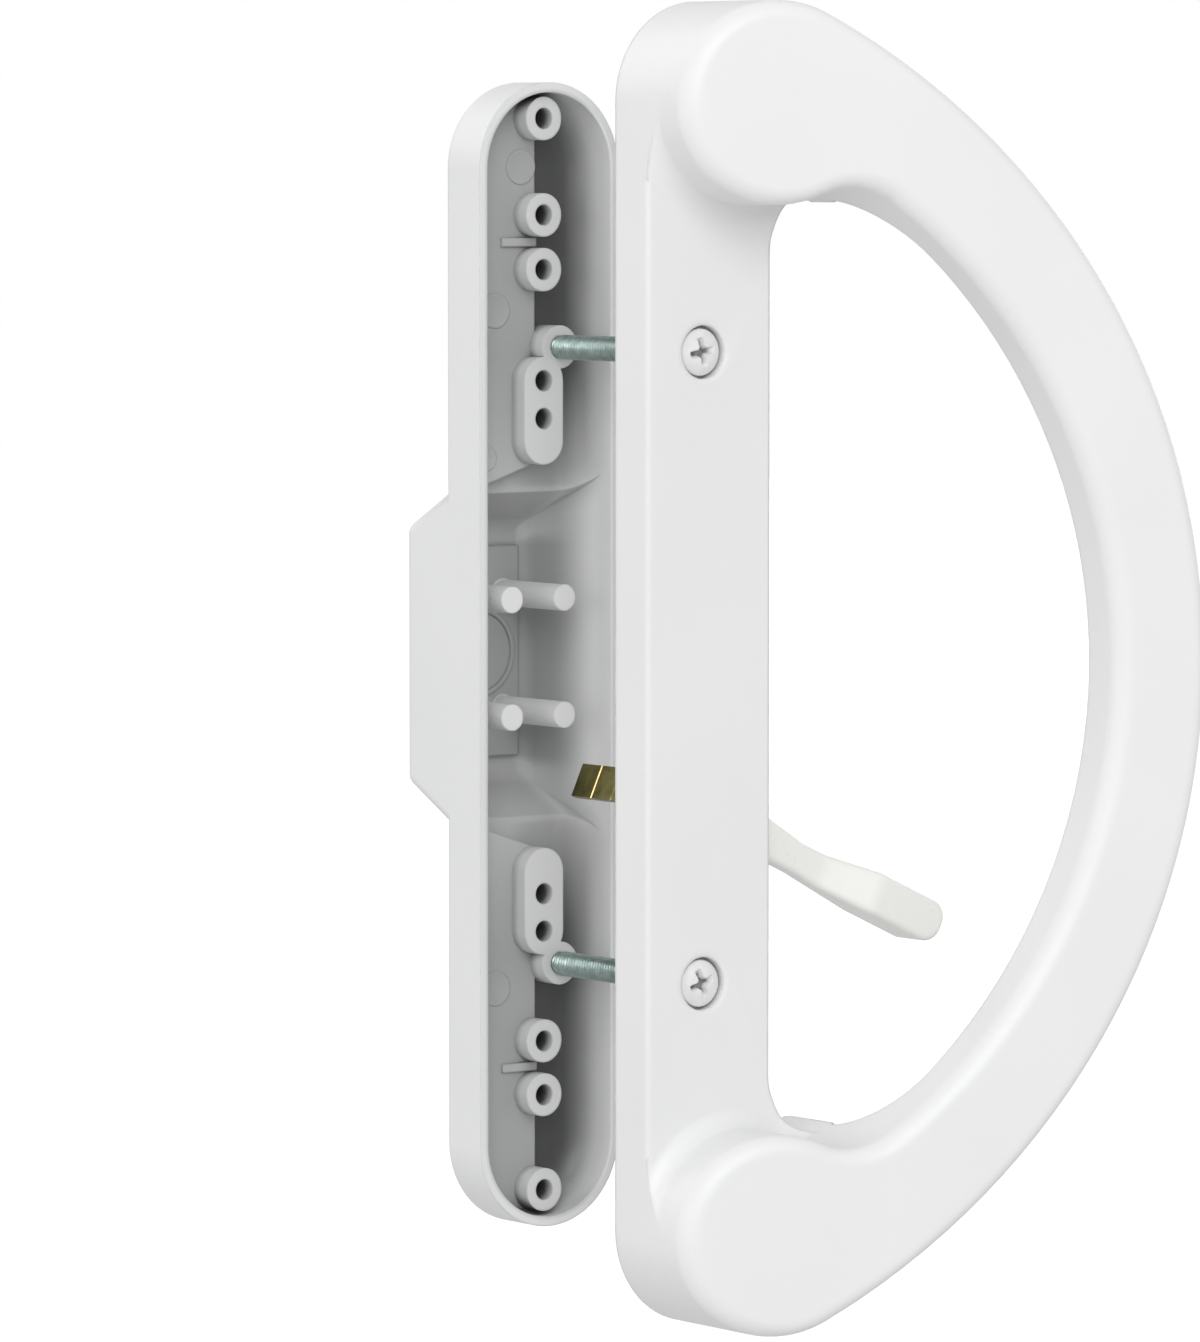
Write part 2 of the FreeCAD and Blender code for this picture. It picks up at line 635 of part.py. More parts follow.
def rounded_stadium(half_width, half_height, y0, y1, radius):
    """Upright plate with round ends at the pull's middle, its deep edge rounded in bands."""
    straight = half_height - half_width
    turns = [math.pi / 2 * step / ROUND_BANDS for step in range(ROUND_BANDS + 1)]
    rim = [(half_width - radius * (1 - math.cos(turn)), y1 - radius * (1 - math.sin(turn)))
           for turn in turns]
    points = [(0, y0), (half_width, y0)] + rim + [(0, y1)]
    wire = Part.makePolygon([at(PULL_CENTRE_X + x, straight, y)
                             for x, y in points + points[:1]])
    section = Part.Face(wire)
    end = section.revolve(at(PULL_CENTRE_X, straight), Y_AXIS * -1, 180)
    side = section.extrude(at(0, -2 * straight))
    other = side.mirror(at(PULL_CENTRE_X, 0), FreeCAD.Vector(1, 0, 0))
    return fuse_all([end, mirrored(end), side, other])


def end_prism(points, x0, x1):
    """Solid from an outline of (depth, height) points, between two places along X."""
    face = Part.Face(Part.makePolygon([at(x0, z, y) for y, z in points + points[:1]]))
    return face.extrude(at(x1 - x0, 0))


def hump(inset, y0, top):
    """Block of the finger hump between two depths, its outline drawn in by the inset."""
    lean = (HUMP_BASE_HALF - HUMP_HALF_LENGTH) / HUMP_HEIGHT
    slope = (HUMP_BASE_WIDTH - HUMP_TOP_WIDTH) / HUMP_HEIGHT
    low, high = [HUMP_BASE_HALF - inset - lean * (y - PULL_FACE) for y in (y0, top)]
    left = PULL_LEFT + inset
    right = PULL_LEFT + HUMP_BASE_WIDTH - inset
    near, far = [right - slope * (y - PULL_FACE) for y in (y0, top)]
    body = end_prism([(y0, -low), (top, -high), (top, high), (y0, low)], left,
                     left + PULL_WIDTH)
    ends = [at(left, 0, y0), at(near, 0, y0), at(far, 0, top), at(left, 0, top)]
    return body.common(side_prism(polygon(ends), -OVERSIZE, OVERSIZE))


def hump_hollow():
    """Space inside the hump, open to the rim, with a rounded floor."""
    floor = PULL_FACE + HUMP_HEIGHT - HUMP_FLOOR
    inside = block(PULL_LEFT, PULL_RIGHT - PULL_WALL, RIM_Y, floor, -OVERSIZE, OVERSIZE)
    hollow = hump(PULL_WALL, RIM_Y, floor).common(inside)
    deep = [edge for edge in hollow.Edges if edge.BoundBox.YMin > floor - 0.001
            and edge.BoundBox.XMax > PULL_LEFT + PULL_WALL + 0.001]
    return hollow.makeFillet(HUMP_FLOOR_ROUND, deep)


def ledge():
    """Raised floor along the left of the pull's upper half, ending on a slant."""
    half = PULL_HEIGHT / 2
    right = PULL_LEFT + PULL_WALL + LEDGE_WIDTH
    points = [at(PULL_LEFT + 0.5, half), at(right, half), at(right, LEDGE_END),
              at(PULL_LEFT + 0.5, LEDGE_END - LEDGE_SLANT)]
    inside = stadium(PULL_CENTRE_X, PULL_WIDTH / 2 - 0.5, half - 0.5, RIM_Y, PULL_FLOOR + 0.5)
    return prism(polygon(points), RIM_Y + LEDGE_DEPTH, PULL_FLOOR + 0.5).common(inside)


def rib(z):
    """Low rib across the ledge between two bosses."""
    right = PULL_LEFT + PULL_WALL + LEDGE_WIDTH
    return block(right - RIB_LENGTH, right, RIM_Y + LEDGE_DEPTH - RIB_RISE, PULL_FLOOR,
                 z - RIB_WIDTH / 2, z + RIB_WIDTH / 2)


def outside_pull():
    """Hollow cast pull with its bosses, ledges, hump and posts."""
    half_width = PULL_WIDTH / 2
    half_height = PULL_HEIGHT / 2
    shell = rounded_stadium(half_width, half_height, RIM_Y, PULL_FACE, PULL_EDGE_ROUND)
    solid_hump = hump(0, PULL_FACE - PULL_SKIN, PULL_FACE + HUMP_HEIGHT)
    soft = [edge for edge in solid_hump.Edges
            if edge.BoundBox.YMax > PULL_FACE + HUMP_HEIGHT - 0.001]
    shell = shell.fuse(solid_hump.makeFillet(HUMP_ROUND, soft))
    shell = shell.cut(rounded_stadium(half_width - PULL_WALL, half_height - PULL_WALL, 0,
                                      PULL_FLOOR, PULL_COVE))
    shell = shell.cut(hump_hollow())
    parts = [shell, ledge(), mirrored(ledge())]
    for side in (1, -1):
        parts.append(rib(side * RIB_HEIGHT))
        for z in BOSS_HEIGHTS:
            parts.append(rod(PULL_CENTRE_X, side * z, BOSS_RADIUS, BOSS_FACE, PULL_FLOOR + 0.5))
        for z in (TWIN_BOSS_OUTER, TWIN_BOSS_INNER):
            parts.append(rod(PULL_CENTRE_X, side * z, TWIN_BOSS_RADIUS, BOSS_FACE,
                             PULL_FLOOR + 0.5))
        parts.append(block(PULL_CENTRE_X - TWIN_BOSS_RADIUS, PULL_CENTRE_X + TWIN_BOSS_RADIUS,
                           BOSS_FACE, PULL_FLOOR + 0.5, min(side * TWIN_BOSS_INNER, side *
                           TWIN_BOSS_OUTER), max(side * TWIN_BOSS_INNER, side * TWIN_BOSS_OUTER)))
        parts.append(rod(0, side * SCREW_SPACING / 2, BOSS_RADIUS, BOSS_FACE,
                         PULL_FLOOR + 0.5))
    floor = PULL_FACE + HUMP_HEIGHT - HUMP_FLOOR
    middle = PULL_CENTRE_X + POST_OFFSET
    pad_top = floor - HUMP_PAD_HEIGHT
    parts.append(block(PULL_LEFT + 0.5, middle + HUMP_PAD_RIGHT, pad_top, floor + 0.5,
                       -HUMP_PAD_HALF, HUMP_PAD_HALF))
    for x in (middle - POST_SPACING_X / 2, middle + POST_SPACING_X / 2):
        for z in (POST_SPACING_Z / 2, -POST_SPACING_Z / 2):
            parts.append(rod(x, z, POST_RADIUS, RIM_Y + POST_RECESS, floor + 0.5))
    ring = rod(middle, 0, BLANK_RING_RADIUS, pad_top - BLANK_RING_HEIGHT, floor)
    ring = ring.cut(rod(middle, 0, BLANK_RING_RADIUS - BLANK_RING_WIDTH, 0, OVERSIZE))
    body = fuse_all(parts + [ring]).removeSplitter()
    for side in (1, -1):
        for z in BOSS_HEIGHTS + TWIN_BOSS_HOLES:
            body = body.cut(rod(PULL_CENTRE_X, side * z, BOSS_HOLE_RADIUS, BOSS_FACE - 1,
                                BOSS_FACE + BOSS_HOLE_DEPTH))
    for z in SCREW_HEIGHTS:
        body = body.cut(rod(0, z, SCREW_NECK_RADIUS + TAPPED_HOLE_CLEARANCE, BOSS_FACE - 1,
                            HEAD_BACK + SCREW_LENGTH + TAP_ROOM))
    return body


def main():
    """Write one STEP file for each piece."""
    os.makedirs("parts", exist_ok=True)
    shapes = {
        "interior_handle": inside_handle(),
        "thumb_lever": thumb_lever(),
        "tailpiece": tailpiece(),
        "friction_washer": friction_washer(),
        "retainer_plate": retainer_plate(),
        "retainer_screws": retainer_screws(),
        "mounting_screw_upper": mounting_screw(SCREW_HEIGHTS[0]),
        "mounting_screw_lower": mounting_screw(SCREW_HEIGHTS[1]),
        "exterior_pull": outside_pull(),
    }
    for name, shape in shapes.items():
        shape.exportStep("parts/" + name + ".step")
        print(name, len(shape.Solids), round(shape.Volume, 1), shape.isValid())


main()
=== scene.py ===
# %% [markdown]
# # A sliding patio door handle, dressed for its picture
# The real object is a set of two white castings. The inside handle is a long plate with a
# grip shaped like a D, and a thumb lever in it turns a strip of brass. The outside pull is
# a hollow casting, seen here from its open side. Two long screws join them through the
# door. The solid model holds every size, so this file only adds the finish of each
# surface, the threads and recesses of the screws, the light and the camera. The model is
# loaded first, because every later step reads its places from it.

# %% Load the solid model
import math

import bmesh
import bpy
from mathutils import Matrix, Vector


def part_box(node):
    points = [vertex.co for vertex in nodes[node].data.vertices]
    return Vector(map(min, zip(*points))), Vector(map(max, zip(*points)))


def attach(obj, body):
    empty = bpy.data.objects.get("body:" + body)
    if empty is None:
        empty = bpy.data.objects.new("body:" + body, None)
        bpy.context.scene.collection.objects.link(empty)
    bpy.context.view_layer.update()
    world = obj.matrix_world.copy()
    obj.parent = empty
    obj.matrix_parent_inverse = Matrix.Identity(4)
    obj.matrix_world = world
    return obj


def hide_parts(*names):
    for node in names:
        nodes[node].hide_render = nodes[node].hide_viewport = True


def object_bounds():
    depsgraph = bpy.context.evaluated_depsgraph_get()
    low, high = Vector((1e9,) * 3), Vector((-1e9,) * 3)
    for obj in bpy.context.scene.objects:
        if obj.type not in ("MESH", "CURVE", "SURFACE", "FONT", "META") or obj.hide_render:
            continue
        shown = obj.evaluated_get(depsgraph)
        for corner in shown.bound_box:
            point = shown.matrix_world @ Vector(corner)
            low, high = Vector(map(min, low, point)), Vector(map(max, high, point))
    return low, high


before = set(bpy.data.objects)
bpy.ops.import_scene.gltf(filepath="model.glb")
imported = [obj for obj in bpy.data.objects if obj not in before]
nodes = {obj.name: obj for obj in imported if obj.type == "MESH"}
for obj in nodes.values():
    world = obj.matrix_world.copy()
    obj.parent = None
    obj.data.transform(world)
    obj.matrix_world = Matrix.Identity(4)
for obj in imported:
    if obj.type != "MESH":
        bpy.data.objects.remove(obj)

MM = 0.001
cad_low, cad_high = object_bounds()
print("loaded", len(nodes), "pieces, from", cad_low, "to", cad_high)

# %% [markdown]
# ## The camera
# A catalogue picture of a handle is taken from far away with a long lens, so that upright
# edges stay upright and both castings keep their proportions. The place could be found by
# dragging a camera until it looks right. Here it is worked out instead: the view's two
# angles and the distance are known, and the middle between the screw heads has to land on
# one pixel of a picture 1200 wide and 1342 high. That keeps the framing exact.

# %% Camera
PICTURE_WIDTH = 1200
PICTURE_HEIGHT = 1342
VIEW_TURN = math.radians(37.0)
VIEW_DROP = math.radians(4.04)
VIEW_DISTANCE = 1.1915
LENS = 202.37
SENSOR = 36.0
FAR_ENOUGH = 20.0
AIM_PIXEL = (703.5, 669.0)

screw_low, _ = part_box("mounting_screw_upper")
HEAD_FACE = screw_low.y
ahead = Vector((math.sin(VIEW_TURN) * math.cos(VIEW_DROP),
                math.cos(VIEW_TURN) * math.cos(VIEW_DROP), -math.sin(VIEW_DROP)))
right = Vector((math.cos(VIEW_TURN), -math.sin(VIEW_TURN), 0.0))
up = right.cross(ahead)
pixel = SENSOR / (PICTURE_HEIGHT * LENS)
across = (AIM_PIXEL[0] - PICTURE_WIDTH / 2) * pixel
down = (AIM_PIXEL[1] - PICTURE_HEIGHT / 2) * pixel

camera_data = bpy.data.cameras.new("camera")
camera_data.lens = LENS
camera_data.sensor_width = SENSOR
camera_data.clip_end = FAR_ENOUGH
camera = bpy.data.objects.new("camera", camera_data)
bpy.context.scene.collection.objects.link(camera)
camera.location = Vector((0, HEAD_FACE, 0)) - (ahead + right * across - up * down) * VIEW_DISTANCE
camera.rotation_euler = ahead.to_track_quat("-Z", "Y").to_euler()
bpy.context.scene.camera = camera
print("camera at", [round(value, 4) for value in camera.location])

# %% [markdown]
# ## Floor, backdrop and light
# White metal on a white ground is drawn by its shading alone, and strong lamps would burn
# it out. So most of the light comes evenly from all round, as in a tent of white cloth. A
# wide soft lamp at the camera's side lifts the faces that turn towards it, such as the
# slanted front of the grip. Three weaker ones keep the left side, the far side and the back
# from going flat. The white round the object is a dome that only the camera sees, a little
# brighter than the tent, and the floor glows, so that the two meet unseen.

# %% Floor, backdrop and light
AMBIENT = 0.66
LAMP_DISTANCE = 1.8
DOME_RADIUS = 6.0
FLOOR_RADIUS = 3.0
FLOOR_GLOW = 0.90
FLOOR_GREY = (0.3, 0.3, 0.3)
DOME_BLACK = (0.0, 0.0, 0.0)
WHITE = (1.0, 1.0, 1.0, 1.0)

world = bpy.data.worlds.new("dim_tent")
bpy.context.scene.world = world
world.use_nodes = True
sky = world.node_tree.nodes["Background"]
sky.inputs["Color"].default_value = WHITE
sky.inputs["Strength"].default_value = AMBIENT


def softbox(name, turn, lift, size, power):
    """A wide soft lamp that faces the object, from a turn round it and a lift in degrees."""
    lamp = bpy.data.lights.new(name, "AREA")
    lamp.shape = "SQUARE"
    lamp.size = size
    lamp.energy = power
    turn = math.radians(turn)
    lift = math.radians(lift)
    away = Vector((math.sin(turn) * math.cos(lift), -math.cos(turn) * math.cos(lift),
                   math.sin(lift)))
    holder = bpy.data.objects.new(name, lamp)
    holder.location = away * LAMP_DISTANCE
    holder.rotation_euler = away.to_track_quat("Z", "Y").to_euler()
    bpy.context.scene.collection.objects.link(holder)


softbox("key", -30, 26, 1.2, 14.5)
softbox("low_left", -75, 8, 1.0, 3.5)
softbox("far_side", 112, 4, 1.2, 4.0)
softbox("back", 205, 30, 1.2, 5.0)
bpy.context.scene.view_settings.view_transform = "Standard"
print("tent at", AMBIENT, "and four lamps", LAMP_DISTANCE, "m away")

# %% [markdown]
# ## What the camera sees behind the object
# A real sweep of paper would throw light back at the object and take its shadow. Here the
# floor and the dome are plain sheets with a glow of their own that no bounced light sees,
# so the ground stays clean white while the tent above decides how the object is lit.

# %% Floor and dome
def glowing(name, colour, glow):
    """A pale matt finish that gives some light of its own."""
    made = bpy.data.materials.new(name)
    made.use_nodes = True
    shader = made.node_tree.nodes["Principled BSDF"]
    shader.inputs["Base Color"].default_value = (*colour, 1.0)
    shader.inputs["Roughness"].default_value = 0.9
    shader.inputs["Specular IOR Level"].default_value = 0.1
    shader.inputs["Emission Color"].default_value = WHITE
    shader.inputs["Emission Strength"].default_value = glow
    return made


def backdrop(name, build, made):
    """Part of the set, seen by the camera and by nothing else."""
    sheet = bmesh.new()
    build(sheet)
    mesh = bpy.data.meshes.new(name)
    sheet.to_mesh(mesh)
    sheet.free()
    mesh.materials.append(made)
    piece = bpy.data.objects.new(name, mesh)
    bpy.context.scene.collection.objects.link(piece)
    piece.visible_diffuse = False
    piece.visible_glossy = False
    piece.visible_transmission = False
    piece.visible_shadow = False
    return piece


floor = backdrop("floor", lambda sheet: bmesh.ops.create_circle(
    sheet, cap_ends=True, segments=96, radius=FLOOR_RADIUS),
    glowing("floor", FLOOR_GREY, FLOOR_GLOW))
floor.location.z = cad_low.z
dome = backdrop("dome", lambda sheet: bmesh.ops.create_icosphere(
    sheet, subdivisions=4, radius=DOME_RADIUS),
    glowing("dome", DOME_BLACK, 1.0))
print("floor at", round(floor.location.z, 4))

# %% [markdown]
# ## Building materials from nodes
# Every finish here is a Principled shader with a few noise textures measured in metres on
# the object itself, so the grain keeps its size on a large casting and on a small screw.
# The helpers below add one node and link it, which keeps each recipe a few lines long.

# %% Node helpers
NOISE_SPAN = (0.3, 0.7)


def new_material(name, colour, roughness, metallic=0.0):
    """A material with its Principled shader set to plain values."""
    made = bpy.data.materials.new(name)
    made.use_nodes = True
    shader = made.node_tree.nodes["Principled BSDF"]
    shader.inputs["Base Color"].default_value = (*colour, 1.0)
    shader.inputs["Roughness"].default_value = roughness
    shader.inputs["Metallic"].default_value = metallic
    return made, shader


def add(made, kind, **values):
    """One more node of a material, with some of its inputs set."""
    node = made.node_tree.nodes.new(kind)
    for key, value in values.items():
        if key in node.inputs:
            node.inputs[key].default_value = value
        else:
            setattr(node, key, value)
    return node


def link(made, start, end):
    """Join an output to an input."""
    made.node_tree.links.new(start, end)


def grain(made, size, detail=2.0, stretch=None):
    """Noise whose features are about one size in metres, read in the object's own space."""
    place = add(made, "ShaderNodeTexCoord")
    noise = add(made, "ShaderNodeTexNoise", Scale=1.0 / size, Detail=detail)
    source = place.outputs["Object"]
    if stretch:
        mapping = add(made, "ShaderNodeMapping")
        mapping.inputs["Scale"].default_value = stretch
        link(made, source, mapping.inputs["Vector"])
        source = mapping.outputs["Vector"]
    link(made, source, noise.inputs["Vector"])
    return noise.outputs["Fac"]


def ramp(made, source, low, high):
    """Spread a noise, which seldom leaves its middle, between two numbers."""
    spread = add(made, "ShaderNodeMapRange")
    spread.inputs["From Min"].default_value = NOISE_SPAN[0]
    spread.inputs["From Max"].default_value = NOISE_SPAN[1]
    spread.inputs["To Min"].default_value = low
    spread.inputs["To Max"].default_value = high
    link(made, source, spread.inputs["Value"])
    return spread.outputs["Result"]


def blend(made, share, first, second):
    """Colour that runs from the first to the second as a share rises from 0 to 1."""
    mix = add(made, "ShaderNodeMix", data_type="RGBA")
    for name, colour in (("A", first), ("B", second)):
        if isinstance(colour, tuple):
            mix.inputs[name].default_value = (*colour, 1.0)
        else:
            link(made, colour, mix.inputs[name])
    link(made, share, mix.inputs["Factor"])
    return mix.outputs["Result"]


def bump(made, shader, source, height, edge=0.0):
    """Relief of a given height, over edges softened to a radius, both in metres."""
    relief = add(made, "ShaderNodeBump", Distance=height, Strength=1.0)
    link(made, source, relief.inputs["Height"])
    link(made, relief.outputs["Normal"], shader.inputs["Normal"])
    if edge:
        soft = add(made, "ShaderNodeBevel", Radius=edge, samples=4)
        link(made, soft.outputs["Normal"], relief.inputs["Normal"])


def dress(node, made):
    """Give a piece, or a piece of the solid model by its name, one material."""
    piece = nodes[node] if isinstance(node, str) else node
    piece.data.materials.clear()
    piece.data.materials.append(made)
    return piece


print("node helpers ready")

# %% [markdown]
# ## Masks from places
# Where a finish changes over a piece, the material has to know where each point is. Painted
# weights or an image would do, but they have to be made by hand. These helpers do a little
# arithmetic on the point's own coordinates instead, so a mask is a rule in millimetres.

# %% Mask helpers
def sum_up(made, operation, *values):
    """One step of arithmetic on sockets and numbers."""
    step = add(made, "ShaderNodeMath", operation=operation)
    for i, value in enumerate(values):
        if isinstance(value, (int, float)):
            step.inputs[i].default_value = value
        else:
            link(made, value, step.inputs[i])
    return step.outputs["Value"]


def rise(made, value, start, end):
    """0 before the start and 1 after the end, smooth between them."""
    spread = add(made, "ShaderNodeMapRange", interpolation_type="SMOOTHSTEP")
    spread.inputs["From Min"].default_value = start
    spread.inputs["From Max"].default_value = end
    link(made, value, spread.inputs["Value"])
    return spread.outputs["Result"]


def rise_mm(made, value, span):
    """The same rise, over a span in millimetres."""
    return rise(made, value, span[0] * MM, span[1] * MM)


def times(made, *values):
    """Product of sockets and numbers."""
    product = values[0]
    for value in values[1:]:
        product = sum_up(made, "MULTIPLY", product, value)
    return product


def remainder(made, share):
    """What a share leaves of 1."""
    return sum_up(made, "SUBTRACT", 1.0, share)


def hypotenuse(made, first, second):
    """Straight distance from two distances at right angles."""
    square = sum_up(made, "ADD", sum_up(made, "POWER", first, 2.0),
                    sum_up(made, "POWER", second, 2.0))
    return sum_up(made, "SQRT", square)


def axes(made, output="Object"):
    """The three numbers of a place, in metres, or of a normal."""
    place = add(made, "ShaderNodeTexCoord")
    split = add(made, "ShaderNodeSeparateXYZ")
    link(made, place.outputs[output], split.inputs["Vector"])
    return split.outputs["X"], split.outputs["Y"], split.outputs["Z"]


print("mask helpers ready")

# %% [markdown]
# ## Smooth skins for the castings
# The solid model arrives as flat triangles with a seam between every two of its faces. A
# casting has no such seams. So each large piece is copied, the doubled points are welded,
# and normals are averaged by area, which keeps flat faces flat and lets narrow roundings
# run smoothly. Real edges stay sharp because they turn by a large angle. The copy takes
# the place of the solid in the picture and keeps its points, so it keeps its size.

# %% Smooth copies
SHARP_TURN = math.radians(32)
WELD = 0.002
AREA_WEIGHT = 60


def smooth_copy(node, name, body, cutter=None):
    """A welded copy of a solid, less a cutter, that stands for it in the picture."""
    mesh = nodes[node].data.copy()
    mesh.name = name
    sheet = bmesh.new()
    sheet.from_mesh(mesh)
    bmesh.ops.remove_doubles(sheet, verts=sheet.verts, dist=WELD * MM)
    sheet.to_mesh(mesh)
    sheet.free()
    if "custom_normal" in mesh.attributes:
        mesh.attributes.remove(mesh.attributes["custom_normal"])
    piece = bpy.data.objects.new(name, mesh)
    bpy.context.scene.collection.objects.link(piece)
    if cutter:
        trim = piece.modifiers.new("trim", "BOOLEAN")
        trim.operation = "DIFFERENCE"
        trim.solver = "EXACT"
        trim.object = cutter
        graph = bpy.context.evaluated_depsgraph_get()
        piece.data = bpy.data.meshes.new_from_object(piece.evaluated_get(graph))
        piece.data.name = name
        piece.modifiers.clear()
        bpy.data.objects.remove(cutter)
    piece.data.shade_smooth()
    piece.data.set_sharp_from_angle(angle=SHARP_TURN)
    flats = piece.modifiers.new("flats", "WEIGHTED_NORMAL")
    flats.keep_sharp = True
    flats.weight = AREA_WEIGHT
    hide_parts(node)
    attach(piece, body)
    return piece


print("edges sharper than", round(math.degrees(SHARP_TURN)), "degrees stay sharp")

# %% [markdown]
# ## The corners of the grip's opening
# Where the plate runs out under the grip, its edge turns through a quarter of an ellipse
# and dies away into the inside of the grip. In the solid the edge still stands proud there
# as a small lip. A cutter takes it off: a prism whose outline is that curve, once above
# and once below. Filing it by moving points would work too, but a cut leaves a clean edge.

# %% Handle
ARCH_X = 12.95
ARCH_Z = 64.7
ARCH_ACROSS = 7.6
ARCH_HIGH = 10.3
ARCH_STEPS = 24
GRIP_INSIDE = ((22.0, 74.1), (24.0, 72.9), (26.0, 71.5), (30.0, 66.0))
CLEAR_X = 30.0
CLEAR_Z = 58.0
LIP_Y = (-12.0, 1.0)


def lip_cutter():
    """Two prisms along Y that trim the plate's edge at the ends of the opening."""
    curve = []
    for i in range(ARCH_STEPS + 1):
        turn = math.pi / 2 * i / ARCH_STEPS
        curve.append((ARCH_X + ARCH_ACROSS * (1 - math.cos(turn)),
                      ARCH_Z + ARCH_HIGH * math.sin(turn)))
    outline = curve + list(GRIP_INSIDE) + [(CLEAR_X, CLEAR_Z), (ARCH_X, CLEAR_Z)]
    sheet = bmesh.new()
    for side in (1, -1):
        front = [sheet.verts.new((x * MM, LIP_Y[0] * MM, side * z * MM)) for x, z in outline]
        face = sheet.faces.new(front)
        grown = bmesh.ops.extrude_face_region(sheet, geom=[face])["geom"]
        back = [item for item in grown if isinstance(item, bmesh.types.BMVert)]
        bmesh.ops.translate(sheet, verts=back, vec=(0, (LIP_Y[1] - LIP_Y[0]) * MM, 0))
    bmesh.ops.recalc_face_normals(sheet, faces=sheet.faces)
    mesh = bpy.data.meshes.new("lip_cutter")
    sheet.to_mesh(mesh)
    sheet.free()
    cutter = bpy.data.objects.new("lip_cutter", mesh)
    bpy.context.scene.collection.objects.link(cutter)
    return cutter


handle = smooth_copy("interior_handle", "handle_casting", "fixed",
                     lip_cutter())
print(handle.name, len(handle.data.polygons), "faces")

# %% [markdown]
# ## White powder coat
# Both castings are coated with white powder that melts in an oven. It flows out almost
# smooth and keeps a faint orange peel, with waves a millimetre or two long and only a few
# microns high. One flat colour would look like plastic, so the white drifts a little, the
# gloss varies with the flow, and the relief is real bump at that size. The bevel node
# rounds the look of edges that a casting never has quite sharp.

# %% Powder coat
DRIFT_SIZE = 0.030
PEEL_SIZE = 0.0016
PEEL_HEIGHT = 0.000012
POWDER_ROUGHNESS = 0.42
HANDLE_EDGE = 0.0008


def powder_coat(name, light, dark, edge):
    """Oven-cured white powder over a casting."""
    made, shader = new_material(name, light, POWDER_ROUGHNESS)
    drift = ramp(made, grain(made, DRIFT_SIZE), 0.0, 1.0)
    coat = blend(made, drift, dark, light)
    link(made, coat, shader.inputs["Base Color"])
    peel = grain(made, PEEL_SIZE, 3.0)
    link(made, ramp(made, peel, POWDER_ROUGHNESS - 0.05, POWDER_ROUGHNESS + 0.06),
         shader.inputs["Roughness"])
    bump(made, shader, peel, PEEL_HEIGHT, edge=edge)
    shader.inputs["Coat Weight"].default_value = 0.12
    shader.inputs["Coat Roughness"].default_value = 0.30
    return made, shader, coat


handle_white, _, _ = powder_coat("handle_white", (0.810, 0.812, 0.810),
                                 (0.790, 0.793, 0.793), HANDLE_EDGE)
dress(handle, handle_white)
print("coated", handle_white.name)

# %% [markdown]
# ## What is inside the pull and what is outside
# The outside pull is one thin wall with a white outer face and a hollow whose colour carries
# painted shade. Both faces belong to one mesh, so they can't take two materials without
# cutting it up. A mask tells them apart: the hollow is everything within its outline, a long
# slot with round ends, that doesn't face backwards. The four posts in it stand proud and are
# white again, so a second mask finds them by their distance from four axes.

# %% Masks of the pull
PULL_CENTRE_X = -3.2
PULL_ARC_Z = 78.7
OUTLINE_REACH = (12.6, 13.0)
BACKWARDS = (0.05, 0.15)
POSTS_X = (-10.35, 0.15)
POST_Z = 9.5
POST_REACH = (2.2, 2.5)


def inside_pull(made, x, high):
    """1 on the surfaces of the hollow and 0 on the outside of the casting."""
    from_centre = sum_up(made, "SUBTRACT", x, PULL_CENTRE_X * MM)
    past_arc = sum_up(made, "MAXIMUM", sum_up(made, "SUBTRACT", high, PULL_ARC_Z * MM), 0.0)
    outside = rise_mm(made, hypotenuse(made, from_centre, past_arc), OUTLINE_REACH)
    _, facing, _ = axes(made, "Normal")
    backwards = rise(made, facing, *BACKWARDS)
    return remainder(made, sum_up(made, "MAXIMUM", outside, backwards))


def off_posts(made, x, high):
    """0 on the four posts and 1 elsewhere."""
    along = sum_up(made, "SUBTRACT", high, POST_Z * MM)
    left, right_post = (hypotenuse(made, sum_up(made, "SUBTRACT", x, post * MM), along)
                        for post in POSTS_X)
    return rise_mm(made, sum_up(made, "MINIMUM", left, right_post), POST_REACH)


print("masks of the pull ready")

# %% [markdown]
# ## The painted shade inside the pull
# The hollow's shading is painted into its colour. The wall next to the rim is painted
# lighter than the coat, the ledge and the tops of the bosses a little darker, the bottom
# grey, and the two narrow pockets behind the ledge greyest, all as painted shade that
# deepens with depth. The slope into the hump and the left side take less of it, as painted
# light. Each of these is a rule on how deep a point is, how far along and how far across.
# The painted shade is then laid over the white wherever the largest of them says.

# %% Painted shade of the pull
PULL_EDGE = 0.0005
WALL_FOOT_X = (2.5, 9.2)
LEDGE_SPAN_Y = (30.2, 33.4)
BEHIND_LEDGE_Y = (33.7, 36.4)
DEPTH_SPAN_Y = (32.0, 41.5)
POCKET_SPAN_Y = (31.8, 36.8)
NARROW_Z = (23.0, 50.0)
HUMP_END_Z = (22.0, 31.0)
SHALLOWER = 4.0
SLOPE_START_Z = (17.0, 20.0)
SLOPE_END_Z = (25.0, 28.0)
# painted light: the slope and the left side of the hollow take less of the painted shade
SLOPE_LIGHTER = 0.95
OPEN_X = (-14.0, 0.0)
OPEN_SHARE = 0.7
# painted shade on the ledge and the bosses, painted light next to the rim, two greys of painted
# shade
LEDGE_SHADE = 0.74
BOSS_SHADE = 0.30
RIM_LIGHT_WHITE = (0.90, 0.903, 0.903)
SHADE_GREY = (0.40, 0.405, 0.405)
DEEP_SHADE_GREY = (0.055, 0.056, 0.056)

pull_white_and_shade, shader, coat = powder_coat("pull_white_and_shade", (0.775, 0.778, 0.778),
                                       (0.755, 0.759, 0.760), PULL_EDGE)
x, y, z = axes(pull_white_and_shade)
high = sum_up(pull_white_and_shade, "ABSOLUTE", z)
hidden = inside_pull(pull_white_and_shade, x, high)
wall = rise_mm(pull_white_and_shade, x, WALL_FOOT_X)
level = remainder(pull_white_and_shade, wall)
